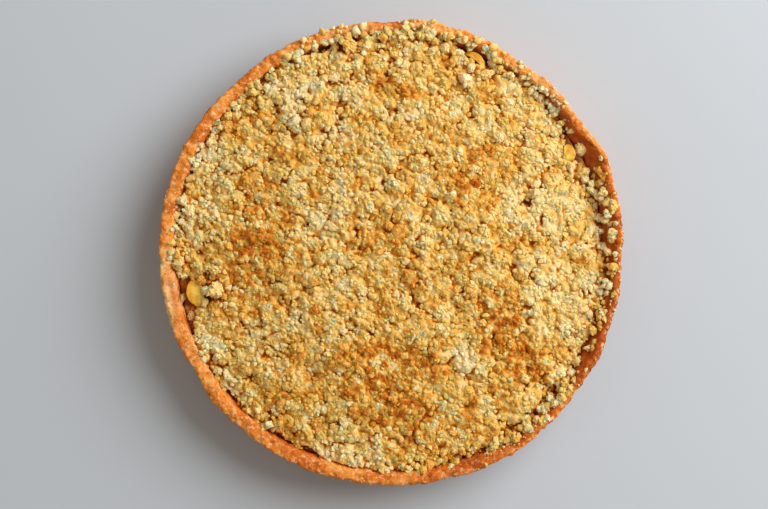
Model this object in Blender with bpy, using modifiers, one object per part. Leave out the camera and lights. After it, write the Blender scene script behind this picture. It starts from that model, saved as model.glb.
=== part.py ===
"""A whole apple crumble pie: a hand-pressed shortcrust case, its apple filling, the heap of
butter crumble on top, and the three apple slices that stand up through the crumble.

Units are metres, +Z is up, and the origin is the centre of the underside.
Angles are in degrees, counter-clockwise from +X, seen from above.
"""

import math
import random

import bmesh
import bpy
from mathutils import Vector, noise

# The pastry case, as it left a 26 cm springform tin
RIM_RADIUS = 0.1300
FOOT_RADIUS = 0.1270
CASE_HEIGHT = 0.0360
FOOT_ROUND = 0.0030
BASE_THICKNESS = 0.0050
WALL_THICKNESS = 0.0080
RIM_TAPER = 0.0012
RIM_CROWN = 0.0028
# How steeply a press on the rim fades towards the foot
PRESS_FADE = 3
# Heights at which the outer wall has a ring of points
WALL_LEVELS = (0.0216, 0.0108)
TURN_STEPS = 96
RIM_SIDES = 5
FOOT_SIDES = 3

# Where the rim was pressed in or out: angle, half width, and how far out in metres
RIM_PRESSES = (
    (0, 4, -0.0012),
    (24, 5, 0.0022),
    (35, 5, -0.0016),
    (57, 6, -0.0009),
    (72, 4, 0.0012),
    (82, 5, 0.0021),
    (91, 4, -0.0013),
    (132, 8, -0.0008),
    (165, 16, 0.0006),
    (210, 6, -0.0018),
    (230, 4, -0.0008),
    (290, 4, 0.0012),
    (302, 6, 0.0017),
    (325, 8, -0.0005),
    (341, 5, -0.0014),
    (355, 4, -0.0010),
)
# Where the rim stands higher or sags
RIM_LIFTS = (
    (24, 7, 0.0016),
    (42, 7, 0.0014),
    (60, 8, -0.0012),
    (82, 6, 0.0014),
    (120, 12, -0.0008),
    (150, 10, 0.0008),
    (210, 9, -0.0010),
    (245, 14, 0.0007),
    (300, 8, 0.0012),
    (335, 6, 0.0010),
    (350, 5, -0.0010),
)
# Where the rim's top edge is thicker or thinner
RIM_WIDTHS = (
    (15, 40, -0.0028),
    (90, 25, -0.0008),
    (205, 60, 0.0010),
    (310, 25, -0.0012),
    (340, 20, -0.0014),
)
# Where the wall is thicker or thinner lower down, at the filling
WALL_WIDTHS = (
    (15, 30, 0.0030),
    (90, 25, -0.0008),
    (200, 60, 0.0008),
    (320, 25, 0.0008),
)

# The apple filling
FILL_LEVEL = 0.0265
SYRUP_DIP = 0.0014
SYRUP_RINGS = (0.104, 0.110, 0.116)
# Between these distances from the middle, the syrup lies lower
SYRUP_BAND = (0.1055, 0.1172)

# The crumble heap
HEAP_RINGS = 26
HEAP_EDGE_LEVEL = 0.0335
HEAP_CROWN = 0.0090
HEAP_SHOULDER = 2.6
HEAP_GAP = 0.0010
MOUND_SIZE = 0.026
MOUND_HEIGHT = 0.0022
CRUMB_SIZE = 0.0098
CRUMB_HEIGHT = 0.0034
# The usual height of a crumb's bump, as a share of CRUMB_HEIGHT
MEAN_BUMP = 0.6
# How sharply mounds, crumbs and bays keep to their part of the heap
MOUND_FADE = 4
CRUMB_FADE = 12
BAY_FADE = 8
# How much lower or higher the heap's edge lies against the wall
EDGE_LIFTS = (
    (15, 35, -0.0024),
    (90, 25, 0.0010),
    (320, 25, -0.0008),
)
# Bays in the heap's edge, where the filling shows: angle, half width, depth in metres
HEAP_BAYS = (
    (5, 4, 0.0042),
    (13, 3, 0.0040),
    (29, 5.5, 0.0130),
    (66.5, 5.5, 0.0090),
    (100, 3, 0.0036),
    (109, 4, 0.0050),
    (160, 3, 0.0046),
    (192, 7.5, 0.0175),
    (222, 3, 0.0050),
    (239, 3, 0.0046),
    (247, 3, 0.0056),
    (289, 4, 0.0056),
    (316, 4, 0.0056),
    (332, 5, 0.0034),
)

# The largest crumbs, fused to the heap: angle, distance from the middle, size across
LARGE_CRUMBS = (
    (101, 0.1170, 0.0112),
    (107, 0.1120, 0.0080),
    (84, 0.1170, 0.0078),
    (75.6, 0.1180, 0.0072),
    (61.5, 0.1120, 0.0074),
    (56, 0.1160, 0.0090),
    (47, 0.1140, 0.0080),
    (38, 0.1120, 0.0080),
    (22.5, 0.1150, 0.0080),
    (8, 0.1120, 0.0080),
    (345, 0.1140, 0.0080),
    (327, 0.1130, 0.0080),
    (311, 0.1140, 0.0090),
    (297, 0.1150, 0.0080),
    (282, 0.1150, 0.0086),
    (272, 0.1170, 0.0084),
    (258, 0.1150, 0.0080),
    (231, 0.1130, 0.0082),
    (214, 0.1140, 0.0080),
    (197.4, 0.1160, 0.0066),
    (183, 0.1165, 0.0104),
    (173, 0.1160, 0.0082),
    (152, 0.1140, 0.0086),
    (140, 0.1160, 0.0078),
    (126, 0.1150, 0.0084),
)
# The rest of them follow a sunflower's spiral over the whole heap
SPIRAL_CRUMBS = 80
SPIRAL_TURN = math.degrees(math.pi * (3 - math.sqrt(5)))
SPIRAL_RADIUS = 0.108
SPIRAL_CRUMB_SIZE = (0.0080, 0.0120)
CRUMB_SEED = 26
SPIRAL_JITTER = 6
CRUMB_SUNK = 0.04
CRUMB_LUMPINESS = 0.22
CRUMB_STRETCH = (0.85, 1.15)
CRUMB_FLATNESS = 0.75
CRUMB_CLEARANCE = 0.0012

# Apple slices: angle, distance from the middle, length, thickness, height, turn from the
# tangent in degrees, and how much each curves, as a share of its length
APPLE_SLICES = {
    "apple_slice_left": (191.5, 0.1107, 0.0162, 0.0096, 0.0088, 2, 0.10),
    "apple_slice_top": (66.5, 0.1172, 0.0142, 0.0040, 0.0086, -16, 0.17),
    "apple_slice_right": (29.4, 0.1136, 0.0104, 0.0068, 0.0070, -24, 0.08),
}
SLICE_CUTS = 5
SLICE_TAPER = 0.55

# Touching pieces are modelled this far apart, and the filling stands a little further
# from the uneven wall
FIT_GAP = 0.0003
WALL_GAP = 0.0005
MERGE = 0.00001

# Colours, linear red, green and blue
SHORTCRUST_COLOUR = (0.56, 0.25, 0.075)
FILLING_COLOUR = (0.24, 0.065, 0.012)
CRUMBLE_COLOUR = (0.72, 0.47, 0.17)
APPLE_COLOUR = (0.62, 0.38, 0.07)


def wrapped(angle):
    """An angle difference from -180 to 180 degrees."""
    return (angle + 180.0) % 360.0 - 180.0


def swell(angle, features):
    """The sum of smooth bumps, each given by its angle, half width and height."""
    return sum(
        height * math.exp(-((wrapped(angle - at) / width) ** 2))
        for at, width, height in features
    )


def smooth(share):
    share = min(1.0, max(0.0, share))
    return share * share * (3.0 - 2.0 * share)


def outer_radius(level):
    """The outside of the ideal wall, which leans out a little from foot to rim."""
    return FOOT_RADIUS + (RIM_RADIUS - FOOT_RADIUS) * level / CASE_HEIGHT


def inner_radius(level):
    return outer_radius(level) - WALL_THICKNESS


def pressed(radius, level, angle):
    """Where a point of the ideal turned case ends up in the hand-pressed one."""
    rise = max(0.0, (level - BASE_THICKNESS) / (CASE_HEIGHT - BASE_THICKNESS))
    inside = min(1.0, max(0.0, (outer_radius(level) - radius) / WALL_THICKNESS))
    above = smooth((level - FILL_LEVEL) / (CASE_HEIGHT - FILL_LEVEL))
    radius += swell(angle, RIM_PRESSES) * rise**PRESS_FADE
    radius -= (swell(angle, RIM_WIDTHS) - RIM_TAPER) * above * inside
    radius -= swell(angle, WALL_WIDTHS) * (1.0 - above) * rise * inside
    return radius, level + swell(angle, RIM_LIFTS) * above


def inner_wall(level, angle):
    return pressed(inner_radius(level), level, angle)[0]


def polar(point):
    angle = math.degrees(math.atan2(point.y, point.x)) % 360.0
    return math.hypot(point.x, point.y), angle


def placed(radius, level, angle):
    turn = math.radians(angle)
    return Vector((radius * math.cos(turn), radius * math.sin(turn), level))


def pastry_material(name, colour, roughness):
    material = bpy.data.materials.new(name)
    material.use_nodes = True
    surface = material.node_tree.nodes["Principled BSDF"]
    surface.inputs["Base Color"].default_value = (*colour, 1.0)
    surface.inputs["Roughness"].default_value = roughness
    surface.inputs["Metallic"].default_value = 0.0
    return material


def linked(name, mesh, collection, material=None):
    obj = bpy.data.objects.new(name, mesh)
    collection.objects.link(obj)
    if material:
        mesh.materials.clear()
        mesh.materials.append(material)
    return obj


def turned(name, profile, collection, material):
    """The profile, a list of radius and level, turned about Z and made a plain mesh."""
    mesh = bpy.data.meshes.new(name)
    edges = [(i, i + 1) for i in range(len(profile) - 1)]
    mesh.from_pydata([(r, 0.0, z) for r, z in profile], edges, [])
    obj = linked(name, mesh, collection)
    screw = obj.modifiers.new("Turn", "SCREW")
    screw.steps = screw.render_steps = TURN_STEPS
    screw.use_merge_vertices = True
    screw.merge_threshold = MERGE
    graph = bpy.context.evaluated_depsgraph_get()
    whole = bpy.data.meshes.new_from_object(obj.evaluated_get(graph))
    bpy.data.objects.remove(obj)
    whole.name = name
    return linked(name, whole, collection, material)


def press_by_hand(obj):
    """Moves every point of a turned shape to where the uneven case has it."""
    for vertex in obj.data.vertices:
        radius, angle = polar(vertex.co)
        if radius > FOOT_RADIUS / 2:
            vertex.co = placed(*pressed(radius, vertex.co.z, angle), angle)


def case_profile():
    """The case's section, up its inner side, over the rounded rim and down the outside."""
    shoulder = CASE_HEIGHT - RIM_CROWN
    middle = (outer_radius(shoulder) + inner_radius(shoulder)) / 2
    rim = [
        (
            middle - WALL_THICKNESS / 2 * math.cos(math.pi * i / RIM_SIDES),
            shoulder + RIM_CROWN * math.sin(math.pi * i / RIM_SIDES),
        )
        for i in range(RIM_SIDES + 1)
    ]
    foot = [
        (
            FOOT_RADIUS - FOOT_ROUND * (1 - math.cos(math.pi / 2 * i / FOOT_SIDES)),
            FOOT_ROUND * (1 - math.sin(math.pi / 2 * i / FOOT_SIDES)),
        )
        for i in range(1, FOOT_SIDES + 1)
    ]
    return [
        (0.0, BASE_THICKNESS),
        (inner_radius(BASE_THICKNESS), BASE_THICKNESS),
        (inner_radius(FILL_LEVEL), FILL_LEVEL),
        *rim,
        *((outer_radius(level), level) for level in WALL_LEVELS),
        (FOOT_RADIUS, FOOT_ROUND),
        *foot,
        (0.0, 0.0),
    ]


def build_case(collection):
    material = pastry_material("baked shortcrust", SHORTCRUST_COLOUR, 0.62)
    case = turned("pastry_case", case_profile(), collection, material)
    press_by_hand(case)
    return case


def build_filling(collection):
    """The filling, flat under the crumble, with syrup that pools lower along the wall."""
    material = pastry_material("apple filling", FILLING_COLOUR, 0.3)
    floor = BASE_THICKNESS + FIT_GAP
    profile = [
        (0.0, floor),
        (inner_radius(BASE_THICKNESS) - WALL_GAP, floor),
        (inner_radius(FILL_LEVEL) - WALL_GAP, FILL_LEVEL),
        *((radius, FILL_LEVEL) for radius in reversed(SYRUP_RINGS)),
        (0.0, FILL_LEVEL),
    ]
    profile.reverse()
    filling = turned("apple_filling", profile, collection, material)
    press_by_hand(filling)
    for vertex in filling.data.vertices:
        in_band = SYRUP_BAND[0] < polar(vertex.co)[0] < SYRUP_BAND[1]
        if vertex.co.z > FILL_LEVEL - MERGE and in_band:
            wave = noise.noise(Vector((vertex.co.x, vertex.co.y, 0.0)) / (MOUND_SIZE / 2))
            vertex.co.z -= SYRUP_DIP * (0.5 + 0.5 * wave)
    return filling


def crumb_bump(x, y, size):
    """A rounded bump for each cell of an uneven cobble pattern, from 0 to 1."""
    nearest = noise.voronoi(Vector((x, y, 0.0)) / size)[0][0]
    return max(0.0, 1.0 - nearest * nearest)


def heap_level(spot, share):
    """The height of the crumble's top. share runs from 0 in the middle to 1 at the edge."""
    crown = HEAP_CROWN * (1.0 - share**HEAP_SHOULDER)
    edge = HEAP_EDGE_LEVEL + swell(polar(spot)[1], EDGE_LIFTS) * share**2
    mound = MOUND_HEIGHT * noise.noise(Vector((spot.x, spot.y, 0.3)) / MOUND_SIZE)
    crumb = CRUMB_HEIGHT * (crumb_bump(spot.x, spot.y, CRUMB_SIZE) - MEAN_BUMP)
    relief = mound * (1.0 - share**MOUND_FADE) + crumb * (1.0 - share**CRUMB_FADE)
    return edge + crown + relief


def heap_radius(share, angle):
    """How far out a ring of the heap lies, with bays in its outer part."""
    edge = inner_wall(FILL_LEVEL, angle) - HEAP_GAP
    return edge * share - swell(angle, HEAP_BAYS) * share**BAY_FADE


def disc_of_rings(rings):
    """A round sheet of even triangles: a hexagon's six, cut finely, as a bmesh."""
    sheet = bmesh.new()
    bmesh.ops.create_circle(sheet, cap_ends=True, cap_tris=True, segments=6, radius=1.0)
    bmesh.ops.subdivide_edges(
        sheet, edges=sheet.edges[:], cuts=rings - 1, use_grid_fill=True
    )
    return sheet


def ring_place(point):
    """A hexagon point's share of the way out, and its angle once the ring is round."""
    angle = polar(point)[1] - polar(Vector((0.0, 1.0)))[1]
    within = angle % 60.0
    radius = math.hypot(point.x, point.y)
    share = radius * math.cos(math.radians(within - 30.0)) / math.cos(math.radians(30.0))
    first, second = math.sin(math.radians(60.0 - within)), math.sin(math.radians(within))
    return share, (angle - within + 60.0 * second / (first + second)) % 360.0


def build_heap_core(collection, material):
    heap = disc_of_rings(HEAP_RINGS)
    for vertex in heap.verts:
        share, angle = ring_place(vertex.co)
        spot = placed(heap_radius(share, angle), 0.0, angle)
        vertex.co = (spot.x, spot.y, heap_level(spot, share))
    edge = [e for e in heap.edges if e.is_boundary]
    skirt = bmesh.ops.extrude_edge_only(heap, edges=edge)["geom"]
    foot = [v for v in skirt if isinstance(v, bmesh.types.BMVert)]
    for vertex in foot:
        angle = polar(vertex.co)[1]
        vertex.co = placed(heap_radius(1.0, angle), FILL_LEVEL + FIT_GAP, angle)
    rim = [e for e in skirt if isinstance(e, bmesh.types.BMEdge)]
    bmesh.ops.contextual_create(heap, geom=rim)
    bmesh.ops.recalc_face_normals(heap, faces=heap.faces[:])
    mesh = bpy.data.meshes.new("crumble_topping")
    heap.to_mesh(mesh)
    heap.free()
    return linked("crumble_topping", mesh, collection, material)


def crumb_spots():
    """Angle, distance from the middle and size of each large crumb on the heap."""
    draw = random.Random(CRUMB_SEED)
    spots = list(LARGE_CRUMBS)
    for i in range(SPIRAL_CRUMBS):
        out = SPIRAL_RADIUS * math.sqrt((i + 0.5) / SPIRAL_CRUMBS)
        size = draw.uniform(*SPIRAL_CRUMB_SIZE)
        angle = i * SPIRAL_TURN + draw.uniform(-SPIRAL_JITTER, SPIRAL_JITTER)
        spots.append((angle, out, size))
    return spots


def clear_of_slices(spot, size):
    """Whether a crumb leaves every apple slice free."""
    for angle, radius, length, *_ in APPLE_SLICES.values():
        apart = (placed(radius, 0.0, angle) - spot).length
        if apart < (length + size) / 2 + CRUMB_CLEARANCE:
            return False
    return True


def build_large_crumbs(collection):
    """One lumpy closed crumb for each spot, sunk partly into the heap."""
    draw = random.Random(CRUMB_SEED)
    for i, (angle, radius, size) in enumerate(crumb_spots()):
        most = heap_radius(1.0, angle) - size * (0.5 + CRUMB_LUMPINESS / 2)
        spot = placed(min(radius, most), 0.0, angle)
        if not clear_of_slices(spot, size):
            continue
        share = min(1.0, min(radius, most) / heap_radius(1.0, angle))
        level = heap_level(spot, share) - size * CRUMB_SUNK
        crumb = bmesh.new()
        bmesh.ops.create_icosphere(crumb, subdivisions=1, radius=size / 2)
        wide, deep = draw.uniform(*CRUMB_STRETCH), draw.uniform(*CRUMB_STRETCH)
        stretch = Vector((wide, deep, CRUMB_FLATNESS))
        for vertex in crumb.verts:
            lump = 1.0 + CRUMB_LUMPINESS * draw.uniform(-1, 1)
            vertex.co = vertex.co * stretch * lump
        mesh = bpy.data.meshes.new(f"large_crumb_{i}")
        crumb.to_mesh(mesh)
        crumb.free()
        obj = linked(mesh.name, mesh, collection)
        obj.location = (spot.x, spot.y, level)
        obj.rotation_euler.z = math.radians(angle)


def build_crumble(collection, cutters):
    material = pastry_material("butter crumble", CRUMBLE_COLOUR, 0.7)
    heap = build_heap_core(collection, material)
    build_large_crumbs(cutters)
    union = heap.modifiers.new("Fuse crumbs", "BOOLEAN")
    union.operand_type = "COLLECTION"
    union.collection = cutters
    union.operation = "UNION"
    union.solver = "EXACT"
    graph = bpy.context.evaluated_depsgraph_get()
    fused = bpy.data.meshes.new_from_object(heap.evaluated_get(graph))
    fused.name = "crumble_topping"
    heap.modifiers.clear()
    heap.data = fused
    for crumb in list(cutters.objects):
        bpy.data.objects.remove(crumb)
    bpy.data.collections.remove(cutters)
    return heap


def build_slice(name, sizes, collection, material):
    """A curved apple slice on its edge, from a bent cage that subdivision rounds."""
    angle, radius, length, thickness, height, turn, curve = sizes
    cage = bmesh.new()
    bmesh.ops.create_cube(cage, size=1.0)
    along = [e for e in cage.edges if abs(e.verts[0].co.x - e.verts[1].co.x) > 0.5]
    bmesh.ops.subdivide_edges(cage, edges=along, cuts=SLICE_CUTS, use_grid_fill=True)
    for vertex in cage.verts:
        x, y, z = vertex.co
        ends = 1.0 - SLICE_TAPER * (2 * x) ** 2
        bend = curve * length * (1.0 - (2 * x) ** 2)
        vertex.co = (
            x * length,
            y * thickness * ends - bend,
            (z + 0.5) * height * (ends if z > 0 else 1.0),
        )
    mesh = bpy.data.meshes.new(name)
    cage.to_mesh(mesh)
    cage.free()
    apple = linked(name, mesh, collection, material)
    apple.location = placed(radius, FILL_LEVEL + FIT_GAP, angle)
    apple.rotation_euler.z = math.radians(angle + 90.0 + turn)
    soften = apple.modifiers.new("Soften", "SUBSURF")
    soften.levels = soften.render_levels = 1
    mesh.shade_smooth()
    return apple


def clear_scene():
    for obj in list(bpy.data.objects):
        bpy.data.objects.remove(obj, do_unlink=True)


def main():
    clear_scene()
    pie = bpy.data.collections.new("Apple crumble pie")
    bpy.context.scene.collection.children.link(pie)
    crumbs = bpy.data.collections.new("Crumbs to fuse")
    bpy.context.scene.collection.children.link(crumbs)
    build_case(pie)
    build_filling(pie)
    build_crumble(pie, crumbs)
    flesh = pastry_material("baked apple", APPLE_COLOUR, 0.35)
    for name, sizes in APPLE_SLICES.items():
        build_slice(name, sizes, pie, flesh)


main()
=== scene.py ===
"""The finish of a whole apple crumble pie: its shortcrust case, the apple in syrup under the
crumble, the crumble as real crumbs laid on a heap, and the apple slices that show.

Every length is in metres. Angles are in degrees, counter-clockwise from +X, seen from above.
"""

import math
import random

import bmesh
import bpy
import numpy as np
from mathutils import Euler, Matrix, Vector, noise


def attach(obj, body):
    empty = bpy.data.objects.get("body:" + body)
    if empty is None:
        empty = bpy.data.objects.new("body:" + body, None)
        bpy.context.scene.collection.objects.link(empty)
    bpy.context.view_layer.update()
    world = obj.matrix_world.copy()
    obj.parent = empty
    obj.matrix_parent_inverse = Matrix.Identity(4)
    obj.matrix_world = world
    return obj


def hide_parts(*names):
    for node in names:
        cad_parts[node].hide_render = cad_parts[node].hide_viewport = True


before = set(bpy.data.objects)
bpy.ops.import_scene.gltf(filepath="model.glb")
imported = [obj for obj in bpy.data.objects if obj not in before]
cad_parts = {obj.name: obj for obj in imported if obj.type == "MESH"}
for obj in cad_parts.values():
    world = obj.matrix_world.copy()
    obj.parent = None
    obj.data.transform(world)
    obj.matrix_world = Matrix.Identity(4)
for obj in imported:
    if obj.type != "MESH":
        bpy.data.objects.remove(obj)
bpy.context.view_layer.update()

bl_info = {
    "name": "Apple crumble pie",
    "version": (1, 0, 0),
    "blender": (4, 5, 0),
    "location": "3D View > Sidebar > Crumble pie",
    "description": "Dresses the solids of an apple crumble pie as baked food",
    "category": "Add Mesh",
}

MM = 0.001

# The case's ideal turned form, the same as in its solid
RIM_RADIUS = 0.1300
FOOT_RADIUS = 0.1270
CASE_HEIGHT = 0.0360
FOOT_ROUND = 0.0030
BASE_THICKNESS = 0.0050
WALL_THICKNESS = 0.0080
RIM_TAPER = 0.0012
RIM_CROWN = 0.0028

# Where the rim was pressed in or out: angle, half width, and how far out in metres
RIM_PRESSES = (
    (0, 4, -0.0012), (24, 5, 0.0022), (35, 5, -0.0016), (57, 6, -0.0009), (72, 4, 0.0012),
    (82, 5, 0.0021), (91, 4, -0.0013), (132, 8, -0.0008), (165, 16, 0.0006), (210, 6, -0.0018),
    (230, 4, -0.0008), (290, 4, 0.0012), (302, 6, 0.0017), (325, 8, -0.0005), (341, 5, -0.0014),
    (355, 4, -0.0010),
)
# Where the rim stands higher or sags
RIM_LIFTS = (
    (24, 7, 0.0016), (42, 7, 0.0014), (60, 8, -0.0012), (82, 6, 0.0014), (120, 12, -0.0008),
    (150, 10, 0.0008), (210, 9, -0.0010), (245, 14, 0.0007), (300, 8, 0.0012), (335, 6, 0.0010),
    (350, 5, -0.0010),
)
# Where the rim's top edge is thicker or thinner
RIM_WIDTHS = (
    (15, 40, -0.0028), (90, 25, -0.0008), (205, 60, 0.0010), (310, 25, -0.0012),
    (340, 20, -0.0014),
)
# Where the wall is thicker or thinner lower down, at the filling
WALL_WIDTHS = (
    (15, 30, 0.0030), (90, 25, -0.0008), (200, 60, 0.0008), (320, 25, 0.0008),
)
# Where syrup ran into the inside of the wall, and where painted shade darkens its inner face away
# from the light: angle, half width and strength
SYRUP_STAINS_AND_SHADE = (
    (12, 24, 0.85), (40, 12, 0.45), (342, 20, 1.3), (312, 18, 0.8), (280, 12, 0.4), (66, 8, 0.5),
    (100, 12, 0.5), (192, 10, 0.5), (240, 12, 0.4),
)

# Where the crust is paler, above 0, or darker, below 0: partly uneven baking and partly painted
# light and shade, darkest on the shaded right of the rim
RIM_TONES_AND_LIGHT = (
    (343, 18, -0.85), (5, 10, -0.20), (305, 18, -0.18), (285, 10, -0.20), (255, 20, -0.10),
    (60, 12, -0.06), (225, 10, -0.08), (190, 18, 0.26), (162, 12, -0.10), (60, 22, 0.18),
    (95, 14, 0.08),
)

# The filling
FILL_LEVEL = 0.0265
FILL_STEPS = 480
WALL_GAP = 0.0005
FIT_GAP = 0.0003

# The heap's own form, as in its solid
HEAP_EDGE_LEVEL = 0.0335
HEAP_CROWN = 0.0090
HEAP_SHOULDER = 2.6
EDGE_LIFTS = (
    (15, 35, -0.0024), (90, 25, 0.0010), (320, 25, -0.0008),
)
# How much higher the loose crumbs are heaped along the edge
CRUMB_LIFTS = (
    (50, 22, 0.0014), (100, 30, 0.0018), (160, 40, 0.0014), (250, 40, 0.0010),
)
# Bays in the heap's edge, where the filling shows: angle, half width, depth in metres
HEAP_BAYS = (
    (5, 4, 0.0042), (13, 3, 0.0040), (29, 5.5, 0.0130), (66.5, 5.5, 0.0090), (100, 3, 0.0036),
    (109, 4, 0.0050), (160, 3, 0.0046), (192, 7.5, 0.0175), (222, 3, 0.0050), (239, 3, 0.0046),
    (247, 3, 0.0056), (289, 4, 0.0056), (316, 4, 0.0056), (332, 5, 0.0034),
)
# The dressed core's bays are shallower, as crumbs lie over the inner halves of the slices
CORE_BAY_DEPTH = 0.62
CORE_BAYS = tuple((angle, width, depth * CORE_BAY_DEPTH) for angle, width, depth in HEAP_BAYS)
# Hollows that show as dark spots: x, y, radius and depth in millimetres
HEAP_HOLLOWS = (
    (-29, 82, 6, 3.2), (-33, 95, 4, 2.4), (-52, 52, 4, 2.2), (-20, 12, 3.5, 2.4), (-17, 2, 3, 2.2),
    (46, -2, 4, 2.4), (19, 55, 3.5, 2.0), (77, 29, 4, 2.4), (68, -7, 5, 2.2), (43, -87, 4, 2.6),
    (-46, -68, 7, 2.2), (-107, 0, 3, 2.4), (57, -47, 5, 2.0), (10, -38, 5, 1.8), (88, 90, 3, 2.4),
    (-64, 80, 5, 2.0),
)
# Patches of the crumble that browned more, or less: x, y and radius in millimetres, strength
BROWNED_PATCHES = (
    (-74, 24, 17, 0.24), (-81, 4, 13, 0.26), (-89, -21, 20, 0.24), (-58, -4, 14, 0.16),
    (1, 95, 11, 0.22), (-75, 69, 15, 0.16), (39, 47, 20, 0.20), (-9, 6, 13, 0.24),
    (15, -9, 12, 0.20), (56, -31, 19, 0.22), (64, -50, 15, 0.24), (-16, -55, 26, 0.20),
    (22, -60, 8, 0.22), (-2, -78, 22, 0.18), (-60, -86, 18, 0.18), (13, -95, 20, 0.22),
    (76, -64, 12, 0.26), (56, -89, 14, 0.16), (60, 14, 12, 0.12), (-113, 18, 12, -0.22),
    (-36, 20, 12, -0.16), (42, -57, 8, -0.34), (-30, -38, 13, -0.14), (82, -30, 12, -0.14),
    (82, 24, 18, -0.16), (107, -20, 16, -0.18), (90, 82, 18, -0.16), (-55, 95, 20, -0.14),
    (-103, 56, 14, -0.20), (-26, -115, 18, -0.16), (-101, -47, 14, -0.14),
)

# The nuggets that can be told apart: angle, distance from the middle, size across
NUGGETS = (
    (101.3, 0.1183, 0.0110), (75.6, 0.1185, 0.0068), (71.4, 0.1180, 0.0060),
    (69.0, 0.1235, 0.0048), (66.7, 0.1127, 0.0062), (61.9, 0.1212, 0.0080), (62.0, 0.1137, 0.0070),
    (67.5, 0.1057, 0.0070), (79.0, 0.1215, 0.0048), (28.7, 0.1212, 0.0078), (25.7, 0.1118, 0.0056),
    (22.5, 0.1180, 0.0068), (17.6, 0.1170, 0.0050), (20.7, 0.1160, 0.0050),
    (184.6, 0.1175, 0.0098), (192.0, 0.1200, 0.0052), (187.8, 0.1232, 0.0034),
    (197.4, 0.1178, 0.0062), (181.3, 0.1235, 0.0040), (191.8, 0.1000, 0.0105),
    (188.3, 0.1074, 0.0060), (191.3, 0.1064, 0.0056), (194.6, 0.1078, 0.0050),
    (2.0, 0.1198, 0.0052), (6.0, 0.1180, 0.0046), (9.5, 0.1192, 0.0056), (13.5, 0.1178, 0.0044),
    (16.5, 0.1196, 0.0048), (19.0, 0.1184, 0.0056), (352.2, 0.1212, 0.0050),
    (349.6, 0.1192, 0.0058), (342.7, 0.1162, 0.0052), (330.4, 0.1208, 0.0056),
    (326.7, 0.1216, 0.0050), (322.0, 0.1190, 0.0048), (316.0, 0.1198, 0.0054),
    (309.0, 0.1190, 0.0056), (303.0, 0.1202, 0.0048),
)

# Apple slices: angle, distance from the middle, length, thickness, height, turn from the
# tangent in degrees, and how much each curves, as a share of its length
APPLE_SLICES = {
    "apple_slice_left": (191.5, 0.1107, 0.0162, 0.0096, 0.0088, 2, 0.10),
    "apple_slice_top": (66.5, 0.1172, 0.0142, 0.0040, 0.0086, -16, 0.17),
    "apple_slice_right": (29.4, 0.1136, 0.0104, 0.0068, 0.0070, -24, 0.08),
}
# Crumbs lie on a slice from this place across it inwards, and 0.5 leaves it bare
SLICE_COVER = {"apple_slice_left": -0.10, "apple_slice_top": 0.5, "apple_slice_right": 0.05}
SLICE_CUTS = 5
SLICE_TAPER = 0.55
SLICE_CREASE = 0.85
SLICE_ROUNDING = 4

# The map of heights that crumbs are laid on
MAP_REACH = 0.1320
MAP_CELL = 0.0004
MAP_COARSE = 0.0011
CORE_DEPTH = 0.0017
CORE_RINGS = 178

# Kinds of crumb: name, how many, smallest and largest size, cuts of their icosphere, lobes,
# how strongly they keep to the heap's outer part, and the least and most that their middles
# lie above what is under them, in half sizes
CRUMB_KINDS = (
    ("crumbs_nugget", 44, 0.0050, 0.0076, 4, 7, 0.6, (-0.3, 0.2)),
    ("crumbs_large", 615, 0.0040, 0.0060, 3, 6, 0.1, (-0.4, 0.1)),
    ("crumbs_medium_1", 2400, 0.0030, 0.0046, 2, 5, 0.0, (-0.6, 0.15)),
    ("crumbs_medium_2", 2400, 0.0023, 0.0035, 2, 4, 0.0, (-0.6, 0.15)),
    ("crumbs_small", 1500, 0.0018, 0.0027, 2, 3, 0.0, (-0.5, 0.15)),
    ("crumbs_fine", 2150, 0.0011, 0.0019, 1, 1, 0.0, (-0.5, 0.1)),
)
FORMS_PER_KIND = 12
TRIES = 3
NUGGET_SUNK = 0.45
NUGGET_TOAST = -0.20

# A crumb's form, in shares of its size: its middle ball, how far out its lobes lie and how
# big they are, and how near its middle the faces lie where it broke off
MIDDLE_BALL = 0.34
LOBE_REACH = (0.16, 0.34)
LOBE_SIZE = (0.13, 0.24)
BREAKS = 8
BREAK_REACH = (0.15, 0.31)
LARGE_BREAK_REACH = (0.22, 0.31)
BREAK_FLATNESS = 0.85
# Its roughness: waves or cells across it, and their strength
FORM_SWELL = (1.7, 0.30)
FORM_LUMPS = (3.9, 0.34)
FORM_CELLS = (4.5, 0.42)
CELL_MIDDLE = 0.45
FORM_GRIT = (13.0, 0.14)
FORM_SCALE = 1.3
CRUMB_SQUASH = 0.8
CRISP_ANGLE = 50.0

# The crumbs that lie against the rim: how many, smallest and largest size, and how far their
# middles may lie inside or outside the wall's inner edge
EDGE_CRUMBS = 330
EDGE_CRUMB_SIZE = (0.0024, 0.0060)
EDGE_CRUMB_REACH = (-0.0042, 0.0008)
EDGE_CRUMB_SUNK = (-0.1, 0.3)
EDGE_CRUMB_TOAST = (-0.16, 0.14)
# Where more of them lie and reach out over the rim's inner edge: angle, half width, metres
EDGE_OVERHANGS = (
    (4, 10, 0.0028), (20, 8, 0.0038), (44, 8, 0.0014), (100, 16, 0.0012), (190, 12, 0.0024),
    (316, 13, 0.0040), (350, 8, 0.0018),
)
# Where fewer of them lie: angle, half width, share left out
EDGE_BARE = ((342, 20, 0.2), (252, 16, 0.5), (222, 10, 0.5), (205, 8, 0.4))
# The share left out all round, what a metre of overhang or of bay changes of it, and how much
# of the overhang their own reach takes on
EDGE_BARE_SHARE = 0.45
OVERHANG_BARE = -180.0
BAY_BARE = 150.0
OVERHANG_REACH = 0.45

# Toasting, from 0 for pale to 1 for brown: of all, and how strong a clump, a spot, a browned
# patch and the spots in such a patch are
BASE_TOAST = 0.36
CLUMP_TOAST = 0.36
SPOT_TOAST = 0.28
PATCH_TOAST = 1.1
PATCH_SPOT_TOAST = 1.6
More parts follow.
